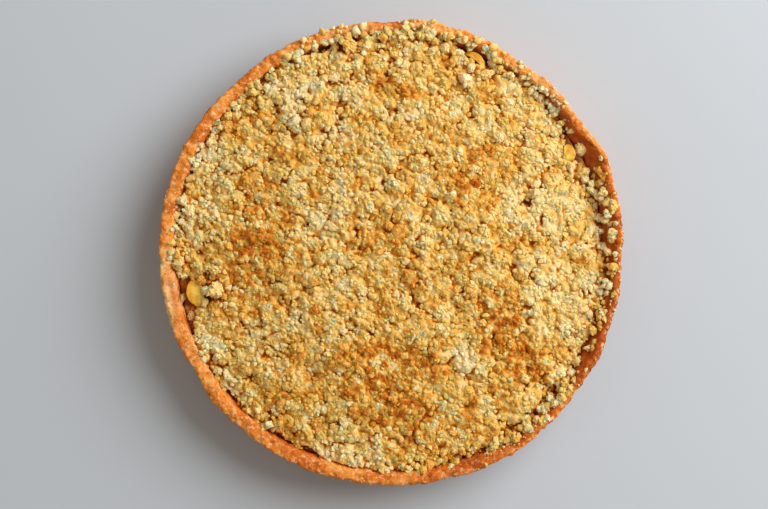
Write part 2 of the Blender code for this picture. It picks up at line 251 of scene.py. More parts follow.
# A crumb's own: paler on top and darker underneath, as painted light and shade, paler for each
# metre that it stands proud and darker for each that it lies low, as painted light and shade, and
# some by chance
PAINTED_TOP_LIGHT = -0.06
PAINTED_PROUD_LIGHT = -40.0
PROUD_LIMIT = 0.002
CHANCE_TOAST = 0.07
# Painted shade darkens the colour in crevices, against the top's level round them, taken narrowly
# and widely: cells of the map, depth in millimetres where it starts and over which it grows, and
# strength
NEAR_CREVICE_SHADE = (4, -0.45, 1.9, 0.45)
WIDE_CREVICE_SHADE = (12, 0.3, 3.2, 0.62)
# The share of a crevice's painted shade that crumbs lying loose in it take on
LOOSE_PAINTED_SHADE = {"crumbs_nugget": 0.5, "crumbs_at_edge": 0.7, "crumbs_on_rim": 0.3}
CRUMB_SEED = 260

# Loose crumbs on the rim: first angle, last angle, how many, smallest and largest size
RIM_CRUMBS = (
    (60, 118, 120, 0.0016, 0.0062), (40, 62, 50, 0.0010, 0.0030), (158, 170, 12, 0.0010, 0.0026),
    (200, 214, 16, 0.0010, 0.0028), (290, 335, 44, 0.0010, 0.0026), (345, 385, 26, 0.0010, 0.0024),
    (0, 360, 60, 0.0008, 0.0016),
)
# Where they lie from the rim's inner side at 0 to its outer at 1, crowded towards the first,
# and how far their middles are over its surface, in sizes
RIM_CRUMB_START = 0.04
RIM_CRUMB_SPREAD = 0.8
RIM_CRUMB_CROWDING = 2.1
RIM_CRUMB_RISE = 0.18
RIM_GRAINS = 600
RIM_GRAIN_SIZE = (0.0004, 0.0009)
RIM_GRAIN_RISE = 0.15

# The camera looks straight down from this far above the rim
CAMERA_HEIGHT = 1.0
PHOTO_WIDTH = 768
RIM_RADIUS_PIXELS = 233.0
PIE_OFFSET_PIXELS = (7.5, 1.5)
SENSOR_WIDTH = 0.036

# Lights: where the middle of the disc is, how wide it is, and its colour
WINDOW = ((1.15, 0.72, 1.18), 1.6, "FCFBF8")
BOUNCE = ((-1.8, -0.8, 2.4), 2.4, "FFFFFF")
SKY_COLOUR = "FFF1DE"


def linear(hex_colour):
    """The linear values of an sRGB colour such as E0A050."""
    parts = [int(hex_colour[i : i + 2], 16) / 255 for i in (0, 2, 4)]
    return tuple(c / 12.92 if c <= 0.04045 else ((c + 0.055) / 1.055) ** 2.4 for c in parts)


def bell(away):
    """A smooth bump: 1 at its middle and about a third at one half width from it."""
    return np.exp(-(away**2))


def swell(angle, features):
    """The sum of smooth bumps, each given by its angle, half width and height."""
    total = np.zeros_like(np.asarray(angle, dtype=float))
    for at, width, height in features:
        off = (np.asarray(angle) - at + 180.0) % 360.0 - 180.0
        total = total + height * bell(off / width)
    return total


def held(share):
    return np.clip(share, 0.0, 1.0)


def smooth(share):
    share = held(share)
    return share * share * (3.0 - 2.0 * share)


def outer_radius(level):
    """The outside of the ideal wall, which leans out a little from foot to rim."""
    return FOOT_RADIUS + (RIM_RADIUS - FOOT_RADIUS) * level / CASE_HEIGHT


def inner_radius(level):
    return outer_radius(level) - WALL_THICKNESS


def pressed(radius, level, angle):
    """Where a point of the ideal turned case ends up in the hand-pressed one."""
    rise = np.clip((level - BASE_THICKNESS) / (CASE_HEIGHT - BASE_THICKNESS), 0.0, None)
    inside = held((outer_radius(level) - radius) / WALL_THICKNESS)
    above = smooth((level - FILL_LEVEL) / (CASE_HEIGHT - FILL_LEVEL))
    radius = radius + swell(angle, RIM_PRESSES) * rise**3
    radius = radius - (swell(angle, RIM_WIDTHS) - RIM_TAPER) * above * inside
    radius = radius - swell(angle, WALL_WIDTHS) * (1.0 - above) * rise * inside
    return radius, level + swell(angle, RIM_LIFTS) * above


def inner_wall(level, angle):
    return pressed(inner_radius(level), level, angle)[0]


def heap_edge(angle):
    """How far out the crumble reaches, with its bays."""
    return inner_wall(FILL_LEVEL, angle) + 0.2 * MM - swell(angle, CORE_BAYS)


def polar(points):
    angle = np.degrees(np.arctan2(points[:, 1], points[:, 0])) % 360.0
    return np.hypot(points[:, 0], points[:, 1]), angle


def on_circle(radius, level, angle):
    radius, level, turn = np.broadcast_arrays(radius, level, np.radians(angle))
    return np.stack([radius * np.cos(turn), radius * np.sin(turn), level], axis=-1)


def waves(points, size, octaves=1, shift=0.0):
    """Smooth noise from about -1 to 1 at each point, with waves of that size in metres."""
    scaled = (np.asarray(points) / size + shift).tolist()
    return np.array([noise.fractal(p, 1.0, 2.0, octaves) for p in scaled])


def cobbles(points, size, shift=0.0):
    """For each point, how near it is to its cell's middle, and how near to a crack."""
    scaled = (np.asarray(points) / size + shift).tolist()
    nearest = np.array([noise.voronoi(p)[0][:2] for p in scaled])
    return held(1.0 - nearest[:, 0] ** 2), nearest[:, 1] - nearest[:, 0]


def vectors(items, key):
    """What Blender keeps under that key for each item, as rows of three."""
    flat = np.empty(len(items) * 3)
    items.foreach_get(key, flat)
    return flat.reshape(-1, 3)


def points_of(mesh):
    return vectors(mesh.vertices, "co")


def bent(plan, size, octaves, reach_mm):
    """A ground plan shifted by waves, so that cells on it come out uneven."""
    shifts = [waves(plan, size, octaves, shift) for shift in (1.0, 9.0)]
    shifted = plan.copy()
    shifted[:, :2] += np.stack(shifts, axis=1) * reach_mm * MM
    return shifted


def move_points(mesh, points):
    mesh.vertices.foreach_set("co", points.ravel())
    mesh.update()


def store(mesh, name, values):
    """Keeps one number a point on the mesh, for its material to read."""
    attribute = mesh.attributes.new(name, "FLOAT", "POINT")
    attribute.data.foreach_set("value", np.asarray(values, dtype=np.float32))


def added(name, data):
    """A new object in the scene."""
    thing = bpy.data.objects.new(name, data)
    bpy.context.scene.collection.objects.link(thing)
    return thing


def finished(name, mesh, material, slot, *nodes):
    """Adds a piece that rides with the pie and stands for the solids named."""
    piece = added(name, mesh)
    mesh.materials.clear()
    mesh.materials.append(material)
    mesh.shade_smooth()
    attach(piece, "root")
    if nodes:
        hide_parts(*nodes)
    return piece


def mesh_from(shape, name):
    mesh = bpy.data.meshes.new(name)
    shape.to_mesh(mesh)
    shape.free()
    return mesh


def filled(tree, node, inputs):
    """Fills a node's inputs: linked where another node's output is given, else set."""
    for key, value in inputs.items():
        if isinstance(value, bpy.types.NodeSocket):
            tree.links.new(value, node.inputs[key])
        else:
            node.inputs[key].default_value = value
    return node


def add_node(tree, kind, inputs=None, **settings):
    """Adds a node, sets its settings and fills its inputs."""
    node = tree.nodes.new(kind)
    for key, value in settings.items():
        setattr(node, key, value)
    return filled(tree, node, inputs or {})


def new_material(name):
    """A material with its tree, its Principled shader and the piece's own coordinates."""
    material = bpy.data.materials.new(name)
    material.use_nodes = True
    tree = material.node_tree
    place = add_node(tree, "ShaderNodeTexCoord").outputs["Object"]
    return material, tree, tree.nodes["Principled BSDF"], place


def rgba(colour):
    """A colour, linear or as sRGB hex, the way a node takes it."""
    return (*(linear(colour) if isinstance(colour, str) else colour), 1.0)


def grain(tree, coordinates, size_mm, detail=3.0, roughness=0.55):
    """Noise whose blotches are about size_mm across."""
    inputs = {
        "Vector": coordinates,
        "Scale": 1.0 / (size_mm * MM),
        "Detail": detail,
        "Roughness": roughness,
    }
    return add_node(tree, "ShaderNodeTexNoise", inputs).outputs["Fac"]


def maths(tree, operation, first, second):
    inputs = {0: first, 1: second}
    return add_node(tree, "ShaderNodeMath", inputs, operation=operation).outputs[0]


def remapped(tree, value, low, high, to_low=0.0, to_high=1.0):
    inputs = {
        "Value": value,
        "From Min": low,
        "From Max": high,
        "To Min": to_low,
        "To Max": to_high,
    }
    return add_node(tree, "ShaderNodeMapRange", inputs, clamp=True).outputs["Result"]


def ramp(tree, value, stops):
    """Colours along a value: each stop is a place from 0 to 1 and a colour."""
    node = add_node(tree, "ShaderNodeValToRGB", {"Fac": value})
    elements = node.color_ramp.elements
    while len(elements) < len(stops):
        elements.new(1.0)
    for element, (place, colour) in zip(elements, stops):
        element.position = place
        element.color = rgba(colour)
    return node.outputs["Color"]


def mixed(tree, share, *colours):
    """A blend of two colours, each a link or sRGB hex. The node takes them at 6 and 7."""
    first, second = [rgba(c) if isinstance(c, str) else c for c in colours]
    inputs = {0: share, 6: first, 7: second}
    return add_node(tree, "ShaderNodeMix", inputs, data_type="RGBA").outputs[2]


def bumped(tree, height, distance, strength=1.0, normal=None):
    inputs = {"Height": height, "Distance": distance, "Strength": strength}
    if normal:
        inputs["Normal"] = normal
    return add_node(tree, "ShaderNodeBump", inputs).outputs["Normal"]


def stored(tree, name):
    return add_node(tree, "ShaderNodeAttribute", attribute_name=name).outputs["Fac"]


def baked_shortcrust(settings):
    """Shortcrust baked golden: matt, finely pitted by its butter and sugar, browned unevenly, with
    painted light and shade in its tones round the rim, and dark where syrup ran up its inside, that
    dark also painted on as shade on the inner face away from the light."""
    material, tree, surface, place = new_material("baked_shortcrust")
    blotches = grain(tree, place, 11.0, 4.0)
    tone = maths(tree, "ADD", remapped(tree, blotches, 0.25, 0.75, 0.2, 0.9), stored(tree, "tone"))
    golden = settings.crust_colour
    stops = ((0.0, "A84A06"), (0.3, "CC6A1A"), (0.55, golden), (0.8, "F0A656"), (1.0, "F8C88A"))
    colour = ramp(tree, tone, stops)
    flecks = remapped(tree, grain(tree, place, 2.4, 4.0, 0.65), 0.50, 0.66)
    colour = mixed(tree, maths(tree, "MULTIPLY", flecks, 0.75), colour, "F8CE94")
    pits = remapped(tree, grain(tree, place, 1.9, 4.0, 0.65), 0.32, 0.46, 1.0, 0.0)
    colour = mixed(tree, maths(tree, "MULTIPLY", pits, 0.75), colour, "A04A0C")
    # Syrup and painted shade: the dark syrup colour also stands for the shade on the wall's inner
    # face
    syrup_and_shade = stored(tree, "syrup_and_shade")
    spread_syrup = remapped(tree, grain(tree, place, 5.0), 0.3, 0.7)
    syrup = mixed(tree, spread_syrup, "983602", "CA641A")
    coarse = bumped(tree, grain(tree, place, 1.6, 3.0), 0.5 * MM)
    inputs = {
        "Base Color": mixed(tree, maths(tree, "MULTIPLY", syrup_and_shade, 0.88), colour, syrup),
        "Roughness": remapped(tree, syrup_and_shade, 0.0, 1.0, 0.74, 0.5),
        "Specular IOR Level": 0.15,
        "Subsurface Weight": 0.2,
        "Subsurface Radius": (1.0, 0.45, 0.12),
        "Subsurface Scale": 1.2 * MM,
        "Normal": bumped(tree, grain(tree, place, 0.5, 2.0), 0.16 * MM, normal=coarse),
    }
    filled(tree, surface, inputs)
    return material


def butter_crumble(settings):
    """Baked crumbs of flour, sugar and butter: dry and rough. They are cream on top, golden with
    butter deep between, and browned in patches. The colour follows each point's toasting, which
    also holds painted light and shade on each crumb's top and underside and on crumbs lying proud
    or low, and its depth in the heap, which paints shade into the crevices."""
    material, tree, surface, place = new_material("butter_crumble")
    mottle = remapped(tree, grain(tree, place, 2.0, 3.0), 0.3, 0.7, -0.14, 0.14)
    toast = maths(tree, "ADD", stored(tree, "toast"), mottle)
    stops = (
        (0.0, "EBD7A8"),
        (0.25, "E9CB8C"),
        (0.45, "E4B963"),
        (0.65, settings.crumble_colour),
        (0.82, "CC8026"),
        (1.0, "AC580C"),
    )
    # Painted shade: the deeper a point lies in a crevice, the more its colour turns to this darker
    # golden brown, which also stands for butter-soaked dough
    deep = stored(tree, "deep")
    butter_and_shade = ramp(tree, deep, ((0.0, "E4B040"), (0.45, "DA9412"), (0.75, "C47004"), (1.0, "924200")))
    colour = ramp(tree, toast, stops)
    inputs = {
        "Base Color": mixed(tree, remapped(tree, deep, 0.14, 0.72), colour, butter_and_shade),
        "Roughness": 0.72,
        "Specular IOR Level": 0.2,
        "Subsurface Weight": 0.9,
        "Subsurface Radius": (1.0, 0.62, 0.24),
        "Subsurface Scale": 2.5 * MM,
        "Normal": bumped(tree, grain(tree, place, 0.8, 3.0), 0.12 * MM),
    }
    filled(tree, surface, inputs)
    return material


def apple_in_syrup(settings):
    """Apple pieces in thickened juice: wet, amber to dark brown, with soft highlights."""
    material, tree, surface, place = new_material("apple_in_syrup")
    depth = remapped(tree, grain(tree, place, 5.0, 3.0), 0.3, 0.7)
    stops = ((0.0, "742A00"), (0.4, settings.syrup_colour), (0.7, "C07010"), (1.0, "DC9C30"))
    inputs = {
        "Base Color": ramp(tree, depth, stops),
        "Roughness": 0.26,
        "IOR": 1.42,
        "Subsurface Weight": 0.3,
        "Subsurface Radius": (1.0, 0.4, 0.08),
        "Subsurface Scale": 2.0 * MM,
        "Normal": bumped(tree, grain(tree, place, 2.5, 3.0), 0.5 * MM),
    }
    filled(tree, surface, inputs)
    return material


def baked_apple(settings):
    """Apple baked until soft: moist and a little see-through, with faint fibres across it
    and an amber edge where it caught the syrup."""
    material, tree, surface, place = new_material("baked_apple")
    flesh = remapped(tree, grain(tree, place, 4.0, 4.0), 0.3, 0.7)
    stops = ((0.0, "BC8E2C"), (0.4, settings.apple_colour), (0.7, "E8C252"), (1.0, "EFD278"))
    amber = maths(tree, "MULTIPLY", stored(tree, "amber"), 0.75)
    inputs = {
        "Base Color": mixed(tree, amber, ramp(tree, flesh, stops), "E59C18"),
        "Roughness": 0.38,
        "IOR": 1.4,
        "Subsurface Weight": 0.25,
        "Subsurface Radius": (1.0, 0.65, 0.2),
        "Subsurface Scale": 1.5 * MM,
        "Normal": bumped(tree, grain(tree, place, 0.9, 3.0), 0.22 * MM),
    }
    filled(tree, surface, inputs)
    return material


def tabletop(settings):
    """A plain painted table: pale, matt and even."""
    material, tree, surface, place = new_material("pale_tabletop")
    tone = remapped(tree, grain(tree, place, 400.0, 2.0), 0.3, 0.7)
    colour = ramp(tree, tone, ((0.0, settings.table_colour), (1.0, "B8C0CA")))
    filled(tree, surface, {"Base Color": colour, "Roughness": 0.6})
    return material


def spun(profile, steps):
    """A closed shape: a profile of radius and level, spun once about Z."""
    shape = bmesh.new()
    ring = [shape.verts.new((radius, 0.0, level)) for radius, level in profile]
    edges = [shape.edges.new(pair) for pair in zip(ring, ring[1:])]
    bmesh.ops.spin(
        shape,
        geom=ring + edges,
        cent=(0, 0, 0),
        axis=(0, 0, 1),
        dvec=(0, 0, 0),
        angle=math.tau,
        steps=steps,
        use_merge=True,
    )
    bmesh.ops.remove_doubles(shape, verts=shape.verts[:], dist=1e-6)
    shape.normal_update()
    bmesh.ops.recalc_face_normals(shape, faces=shape.faces[:])
    return shape


def rim_section(middle, shoulder, share):
    """The rim's section, flatter on top than a half circle. share runs from its inside out."""
    across, up = math.cos(math.pi * share), math.sin(math.pi * share)
    radius = middle - WALL_THICKNESS / 2 * math.copysign(abs(across) ** 0.65, across)
    return radius, shoulder + RIM_CROWN * up**0.55


def case_profile(settings):
    """The case's section: up its inside, over the rim, down the outside and underneath."""
    step = settings.crust_step
    shoulder = CASE_HEIGHT - RIM_CROWN
    middle = (outer_radius(shoulder) + inner_radius(shoulder)) / 2
    count = round(shoulder / step)
    inside = [(inner_radius(z), z) for z in np.linspace(BASE_THICKNESS, shoulder, count)]
    rim_steps = round(1.35 * WALL_THICKNESS / step)
    rim = [rim_section(middle, shoulder, i / rim_steps) for i in range(1, rim_steps)]
    outside = [(outer_radius(z), z) for z in np.linspace(shoulder, FOOT_ROUND, count)]
    foot = [
        (
            FOOT_RADIUS - FOOT_ROUND * (1 - math.cos(math.pi / 2 * i / 6)),
            FOOT_ROUND * (1 - math.sin(math.pi / 2 * i / 6)),
        )
        for i in range(1, 7)
    ]
    under = [(radius, 0.0) for radius in np.linspace(FOOT_RADIUS - FOOT_ROUND, 0.0, 8)[1:]]
    return [(0.0, BASE_THICKNESS), *inside, *rim, *outside, *foot, *under]


def roughen_crust(mesh):
    """Lumps, pits and small nicks of hand-pressed dough, none on the flat underside."""
    points = points_of(mesh)
    lumps = waves(points, 11 * MM, 2) * 0.70 * MM
    crumbly = waves(points, 3.4 * MM, 3, 7.0) * 0.95 * MM
    pits = -np.clip(waves(points, 1.8 * MM, 1, 3.0) - 0.1, 0.0, None) * 1.2 * MM
    clear = held(points[:, 2] / (2 * MM))
    offset = (lumps + crumbly + pits) * clear
    move_points(mesh, points + vectors(mesh.vertex_normals, "vector") * offset[:, None])


def build_case(settings):
    mesh = mesh_from(spun(case_profile(settings), settings.crust_turns), "pastry_crust")
    points = points_of(mesh)
    radius, angle = polar(points)
    level = points[:, 2]
    inside = held((outer_radius(level) - radius) / WALL_THICKNESS)
    new_radius, new_level = pressed(radius, level, angle)
    move_points(mesh, on_circle(new_radius, new_level, angle))
    roughen_crust(mesh)
    # The dark inside of the wall is partly syrup and partly painted shade, strongest where the
    # inner face turns away from the light
    low = 1.0 - smooth((level - 31 * MM) / (4.5 * MM))
    soak_and_shade = held(0.30 + swell(angle, SYRUP_STAINS_AND_SHADE))
    patchy = 0.85 + 0.6 * waves(points, 7 * MM, 2, 11.0)
    run = smooth((inside - 0.38) / 0.35) * held(2.0 * soak_and_shade - 1.0)
    syrup_and_shade = np.maximum(low * smooth(inside * 2.2 - 0.9), run) * soak_and_shade * patchy
    store(mesh, "syrup_and_shade", held(syrup_and_shade * 1.3))
    edge = bell(level / (6 * MM)) * (1.0 - inside)
    blotch = 0.25 * waves(points, 20 * MM, 3, 4.0) - 0.3 * edge
    # tone holds uneven baking and painted light and shade round the rim
    store(mesh, "tone", blotch + swell(angle, RIM_TONES_AND_LIGHT))
    return finished("pastry_crust", mesh, baked_shortcrust(settings), "shortcrust", "pastry_case")


def build_filling(settings):
    """Apple in syrup, fine near the wall, where it shows between the crumbs."""
    floor = BASE_THICKNESS + FIT_GAP
    wall = inner_radius(FILL_LEVEL) - WALL_GAP
    top = np.linspace(wall, 0.094, 34)
    profile = [
        (0.0, floor),
        (inner_radius(BASE_THICKNESS) - WALL_GAP, floor),
        (inner_radius(FILL_LEVEL - 4 * MM) - WALL_GAP, FILL_LEVEL - 4 * MM),
        *((radius, FILL_LEVEL) for radius in top),
        (0.05, FILL_LEVEL),
        (0.0, FILL_LEVEL),
    ]
    mesh = mesh_from(spun(profile, FILL_STEPS), "apple_and_syrup")
    points = points_of(mesh)
    radius, angle = polar(points)
    on_top = points[:, 2] > FILL_LEVEL - MM
    points = on_circle(*pressed(radius, points[:, 2], angle), angle)
    chunks, _ = cobbles(points * (1, 1, 0), 8 * MM, 2.0)
    ripple = waves(points, 3 * MM, 2, 5.0)
    points[:, 2] += on_top * ((chunks - 0.35) * 3.2 * MM + ripple * 0.3 * MM)
    move_points(mesh, points)
    return finished("apple_and_syrup", mesh, apple_in_syrup(settings), "filling", "apple_filling")


def heap_goal(points):
    """How high the crumble's top should lie at each point of the ground plan."""
    radius, angle = polar(points)
    share = np.clip(radius / heap_edge(angle), 0.0, 1.2)
    goal = HEAP_EDGE_LEVEL + swell(angle, EDGE_LIFTS + CRUMB_LIFTS) * share**2
    goal = goal + HEAP_CROWN * (1.0 - held(share) ** HEAP_SHOULDER)
    flat = points * (1, 1, 0)
    middle = 1.0 - held(share) ** 4
    goal = goal + waves(flat, 26 * MM, 2, 0.3) * 1.9 * MM * middle
    plan = bent(flat, 9 * MM, 2, 4.4)
    mounds, cracks = cobbles(plan, 12 * MM)
    goal = goal + (mounds - 0.6) * 1.7 * MM + waves(flat, 7 * MM, 2, 3.0) * 0.8 * MM
    lumps, small_cracks = cobbles(plan, 5.5 * MM, 4.0)
    goal = goal + (lumps - 0.6) * 1.0 * MM
    deep = held(0.5 + 1.2 * waves(flat, 18 * MM, 2, 6.0))
    goal = goal - bell(cracks / 0.15) * 2.4 * MM * deep
    goal = goal - bell(small_cracks / 0.17) * 1.1 * MM * (1.0 - 0.6 * deep)
    for x, y, reach, depth in HEAP_HOLLOWS:
        away = np.hypot(points[:, 0] - x * MM, points[:, 1] - y * MM) / (reach * MM * 0.8)
        goal = goal - bell(away) * depth * MM * 1.5
    bay = held(swell(angle, CORE_BAYS) / (3 * MM))
    open_share = bay * smooth((radius - heap_edge(angle)) / (2 * MM))
    return goal - open_share * (goal - FILL_LEVEL - 1.5 * MM)


def wall_height(radius, angle):
    """The height of the wall's inner side and of the rim's top over a point of the plan."""
    shoulder = CASE_HEIGHT - RIM_CROWN
    low, high = inner_wall(FILL_LEVEL, angle), inner_wall(shoulder, angle)
    slope = held((radius - low) / np.maximum(high - low, 1e-4))
    rim = CASE_HEIGHT + swell(angle, RIM_LIFTS)
    height = FILL_LEVEL + slope * (shoulder - FILL_LEVEL)
    over = smooth((radius - high) / (3 * MM))
    height = height + (rim - shoulder) * over
    return np.where(radius < low, FILL_LEVEL, height)


def spread(coarse, count):
    """A square map stretched to count cells a side, straight between its own points."""
    old = np.linspace(0.0, 1.0, coarse.shape[0])
    new = np.linspace(0.0, 1.0, count)
    rows = np.stack([np.interp(new, old, row) for row in coarse])
    return np.stack([np.interp(new, old, column) for column in rows.T], axis=1)


def blurred(heights, cells):
    """A map smoothed over that many cells each way, one way after the other."""
    span = 2 * cells + 1
    for _ in range(2):
        padded = np.pad(heights, [(cells, cells), (0, 0)], "edge")
        total = np.cumsum(np.insert(padded, 0, 0.0, axis=0), axis=0)
        heights = ((total[span:] - total[:-span]) / span).T
    return heights


def map_plan(count):
    """The x and y of a square map with count points a side."""
    axis = np.linspace(-MAP_REACH, MAP_REACH, count)
    return np.meshgrid(axis, axis, indexing="ij")


def map_cells(points):
    """The map's cells nearest to points."""
    return np.rint((points[:, :2] + MAP_REACH) / MAP_CELL).astype(int).T


class CrumbBed:
    """The top of the heap as a map of heights, which rises as crumbs are laid on it."""

    def __init__(self):
        self.wall = inner_wall(HEAP_EDGE_LEVEL, np.arange(0.0, 360.0, 0.25))
        self.count = 2 * round(MAP_REACH / MAP_CELL) + 1
        x, y = map_plan(2 * round(MAP_REACH / MAP_COARSE) + 1)
        plan = np.stack([x.ravel(), y.ravel(), np.zeros(x.size)], axis=1)
        self.goal = spread(heap_goal(plan).reshape(x.shape), self.count)
        x, y = map_plan(self.count)
        radius, angle = polar(np.stack([x.ravel(), y.ravel()], axis=1))
        radius, angle = radius.reshape(x.shape), angle.reshape(x.shape)
        self.core = self.goal - CORE_DEPTH
        wall = wall_height(radius, angle)
        self.top = np.where(radius < heap_edge(angle), self.core, wall)
        for sizes in APPLE_SLICES.values():
            along, across = slice_place(sizes, x, y)
            within = (np.abs(along) < 0.45) & (np.abs(across) < 0.5)
            level = FILL_LEVEL + sizes[4] * (1.0 - 0.4 * (2 * along) ** 2)
            self.top = np.where(within, np.maximum(self.top, level - MM), self.top)

    def cell(self, x):
        return int(round((x + MAP_REACH) / (2 * MAP_REACH) * (self.count - 1)))

    def patch(self, x, y, reach):
        """The map's cells round a point, and how far each lies from it."""
        cells = max(1, round(reach / MAP_CELL))
        i, j = self.cell(x), self.cell(y)
        i0, i1 = max(0, i - cells), min(self.count, i + cells + 1)
        j0, j1 = max(0, j - cells), min(self.count, j + cells + 1)
        dx = (np.arange(i0, i1) - i) * MAP_CELL
        dy = (np.arange(j0, j1) - j) * MAP_CELL
        return (slice(i0, i1), slice(j0, j1)), np.hypot(dx[:, None], dy[None, :])

    def height(self, x, y, reach):
        where, _ = self.patch(x, y, reach * 0.7)
        return float(self.top[where].mean())

    def room(self, x, y, reach):
        """How far the heap still is below where it should be."""
        i, j = self.cell(x), self.cell(y)
        return self.goal[i, j] - self.height(x, y, reach)

    def lay(self, x, y, middle, reach):
        where, away = self.patch(x, y, reach)
        dome = middle + np.sqrt(np.clip(reach**2 - away**2, 0.0, None)) * 0.8
        part = self.top[where]
        self.top[where] = np.where(away < reach, np.maximum(part, dome), part)

    def rest(self):
        """Keeps the finished top's general level, narrowly and more widely taken."""
        self.near = blurred(self.top, NEAR_CREVICE_SHADE[0])
        self.wide = blurred(self.top, WIDE_CREVICE_SHADE[0])

    def depth(self, points):
        """How deep in a crevice each point lies: 0 on top, 1 far down. The crumble's colour paints
        shade by it.
        """
        i, j = np.clip(map_cells(points), 0, self.count - 1)
        _, start, span, near_share = NEAR_CREVICE_SHADE
        near = held((self.near[i, j] - points[:, 2] - start * MM) / (span * MM))
        _, start, span, wide_share = WIDE_CREVICE_SHADE
        wide = smooth((self.wide[i, j] - points[:, 2] - start * MM) / (span * MM))
        return held(near_share * near + wide_share * wide)

    def free(self, x, y, reach):
        """Whether a crumb there leaves bare what shows of the apple slices."""
        for name, sizes in APPLE_SLICES.items():
            along, across = slice_place(sizes, x, y)
            margin = reach * 0.6 / sizes[3]
            if abs(along) < 0.45 and -0.5 - margin < across < SLICE_COVER[name] + margin:
                return False
        return True


def slice_place(sizes, x, y):
    """Where a point lies on an apple slice: -0.5 to 0.5 along it, and across it, inwards."""
    angle, radius, length, thickness, _, turn, curve = sizes
    middle = math.radians(angle)
    dx, dy = x - radius * math.cos(middle), y - radius * math.sin(middle)
    way = math.radians(angle + 90.0 + turn)
    along = (dx * math.cos(way) + dy * math.sin(way)) / length
    across = dy * math.cos(way) - dx * math.sin(way)
    bend = curve * length * (1.0 - (2 * along) ** 2)
    return along, (across + bend) / thickness


def lobed(direction, lobes):
    """How far a bunch of balls reaches in one direction from the middle of them."""
    reach = 0.0
    for centre, size in lobes:
        along = centre.dot(direction)
        inside = size * size - centre.length_squared + along * along
        if inside > 0.0:
            reach = max(reach, along + math.sqrt(inside))
    return reach


def random_way(draw):
    return Vector((draw.gauss(0, 1), draw.gauss(0, 1), draw.gauss(0, 1))).normalized()


def roughness(way, shift, across, strength):
    return strength * noise.noise(way * across + shift)


def crumb_form(cuts, lobe_count, draw):
    """One crumb about 1 across: lumps of dough stuck together, broken off and rough."""
    lobes = [(Vector((0, 0, 0)), MIDDLE_BALL)]
    for _ in range(lobe_count - 1):
        way = random_way(draw)
        lobes.append((way * draw.uniform(*LOBE_REACH), draw.uniform(*LOBE_SIZE)))
    large = cuts > 2
    reach = LARGE_BREAK_REACH if large else BREAK_REACH
    breaks = [(random_way(draw), draw.uniform(*reach)) for _ in range(BREAKS)]
    shift = Vector((draw.uniform(0, 50), draw.uniform(0, 50), draw.uniform(0, 50)))
    shape = bmesh.new()
    bmesh.ops.create_icosphere(shape, subdivisions=cuts, radius=1.0)
    for vertex in shape.verts:
        way = vertex.co.normalized()
        point = way * lobed(way, lobes) * (1.0 + roughness(way, shift, *FORM_SWELL))
        for face, distance in breaks:
            past = point.dot(face) - distance
            if past > 0.0:
                point -= face * past * BREAK_FLATNESS
        rough = roughness(way, shift, *FORM_LUMPS)
        if large:
            across, strength = FORM_CELLS
            near = noise.voronoi(way * across + shift)[0][0]
            rough += strength * (CELL_MIDDLE - near) + roughness(way, shift, *FORM_GRIT)
        vertex.co = point * (1.0 + rough) * FORM_SCALE
    points = np.array([v.co[:] for v in shape.verts])
    faces = np.array([[v.index for v in face.verts] for face in shape.faces])
    shape.free()
    return points, faces


def crumb_forms(cuts, lobe_count, draw):
    return [crumb_form(cuts, lobe_count, draw) for _ in range(FORMS_PER_KIND)]


def browned(x, y):
    """How much more than the rest a place of the crumble was toasted."""
    total = 0.0
    for px, py, reach, strength in BROWNED_PATCHES:
        total = total + strength * bell(np.hypot(x - px * MM, y - py * MM) / (reach * MM))
    return total


def toasting(points):
    """The toasting at each point: from its patch of the crumble and from its clump."""
    flat = points * (1, 1, 0)
    clump = waves(flat, 12 * MM, 3)
    spot = waves(flat, 4.5 * MM, 2, 0.1)
    patches = browned(points[:, 0], points[:, 1])
    patches = patches * (PATCH_TOAST + PATCH_SPOT_TOAST * spot)
    return BASE_TOAST + patches + CLUMP_TOAST * clump + SPOT_TOAST * spot


def joined(name, forms, placed, bed):
    """One mesh of many crumbs. Each is a form, a turn with its size, a spot, and how much more than
    its surroundings it is toasted, with painted light and shade for how proud a laid crumb lies."""
    painted_shade_share = LOOSE_PAINTED_SHADE.get(name, 1.0)
    all_points, all_faces, all_toast = [], [], []
    start = 0
    around = toasting(np.array([spot for _, _, spot, _ in placed]))
    for (form, turn, spot, extra), toast in zip(placed, around):
        points, faces = forms[form]
        moved = points @ turn.T
        # Painted light and shade: each crumb's top is coloured paler and its underside darker
        all_toast.append(toast + extra + PAINTED_TOP_LIGHT * moved[:, 2] / np.abs(moved).max())
        all_points.append(moved + spot)
        all_faces.append(faces + start)
        start += len(points)
    all_points = np.concatenate(all_points)
    mesh = bpy.data.meshes.new(name)
    mesh.from_pydata(all_points.tolist(), [], np.concatenate(all_faces).tolist())
    store(mesh, "toast", np.concatenate(all_toast))
    # deep paints shade into the crevices
    store(mesh, "deep", bed.depth(all_points) * painted_shade_share)
    return mesh


def random_crumb(size, draw):
    """One of a kind's forms, and a random turn that also scales the form to its size, drawn
    long and pressed flat."""
    turn = Euler([draw.uniform(0, math.tau) for _ in range(3)]).to_matrix()
    longer = draw.uniform(0.8, 1.35)
    stretch = Matrix.Diagonal((longer, draw.uniform(0.8, 1.1), 1.0 / longer**0.5))
    turned = np.array(Matrix.Diagonal((1.0, 1.0, CRUMB_SQUASH)) @ turn @ stretch) * size
    return draw.randrange(FORMS_PER_KIND), turned


def random_spot(bed, outward, margin, draw):
    """A place on the heap. An outward of 0 spreads crumbs evenly, and more keeps them out."""
    pick = draw.randrange(len(bed.wall))
    turn = math.tau * pick / len(bed.wall)
    share = draw.random() ** (0.5 / (1.0 + outward))
    radius = share * (float(bed.wall[pick]) - margin)
    return radius * math.cos(turn), radius * math.sin(turn)


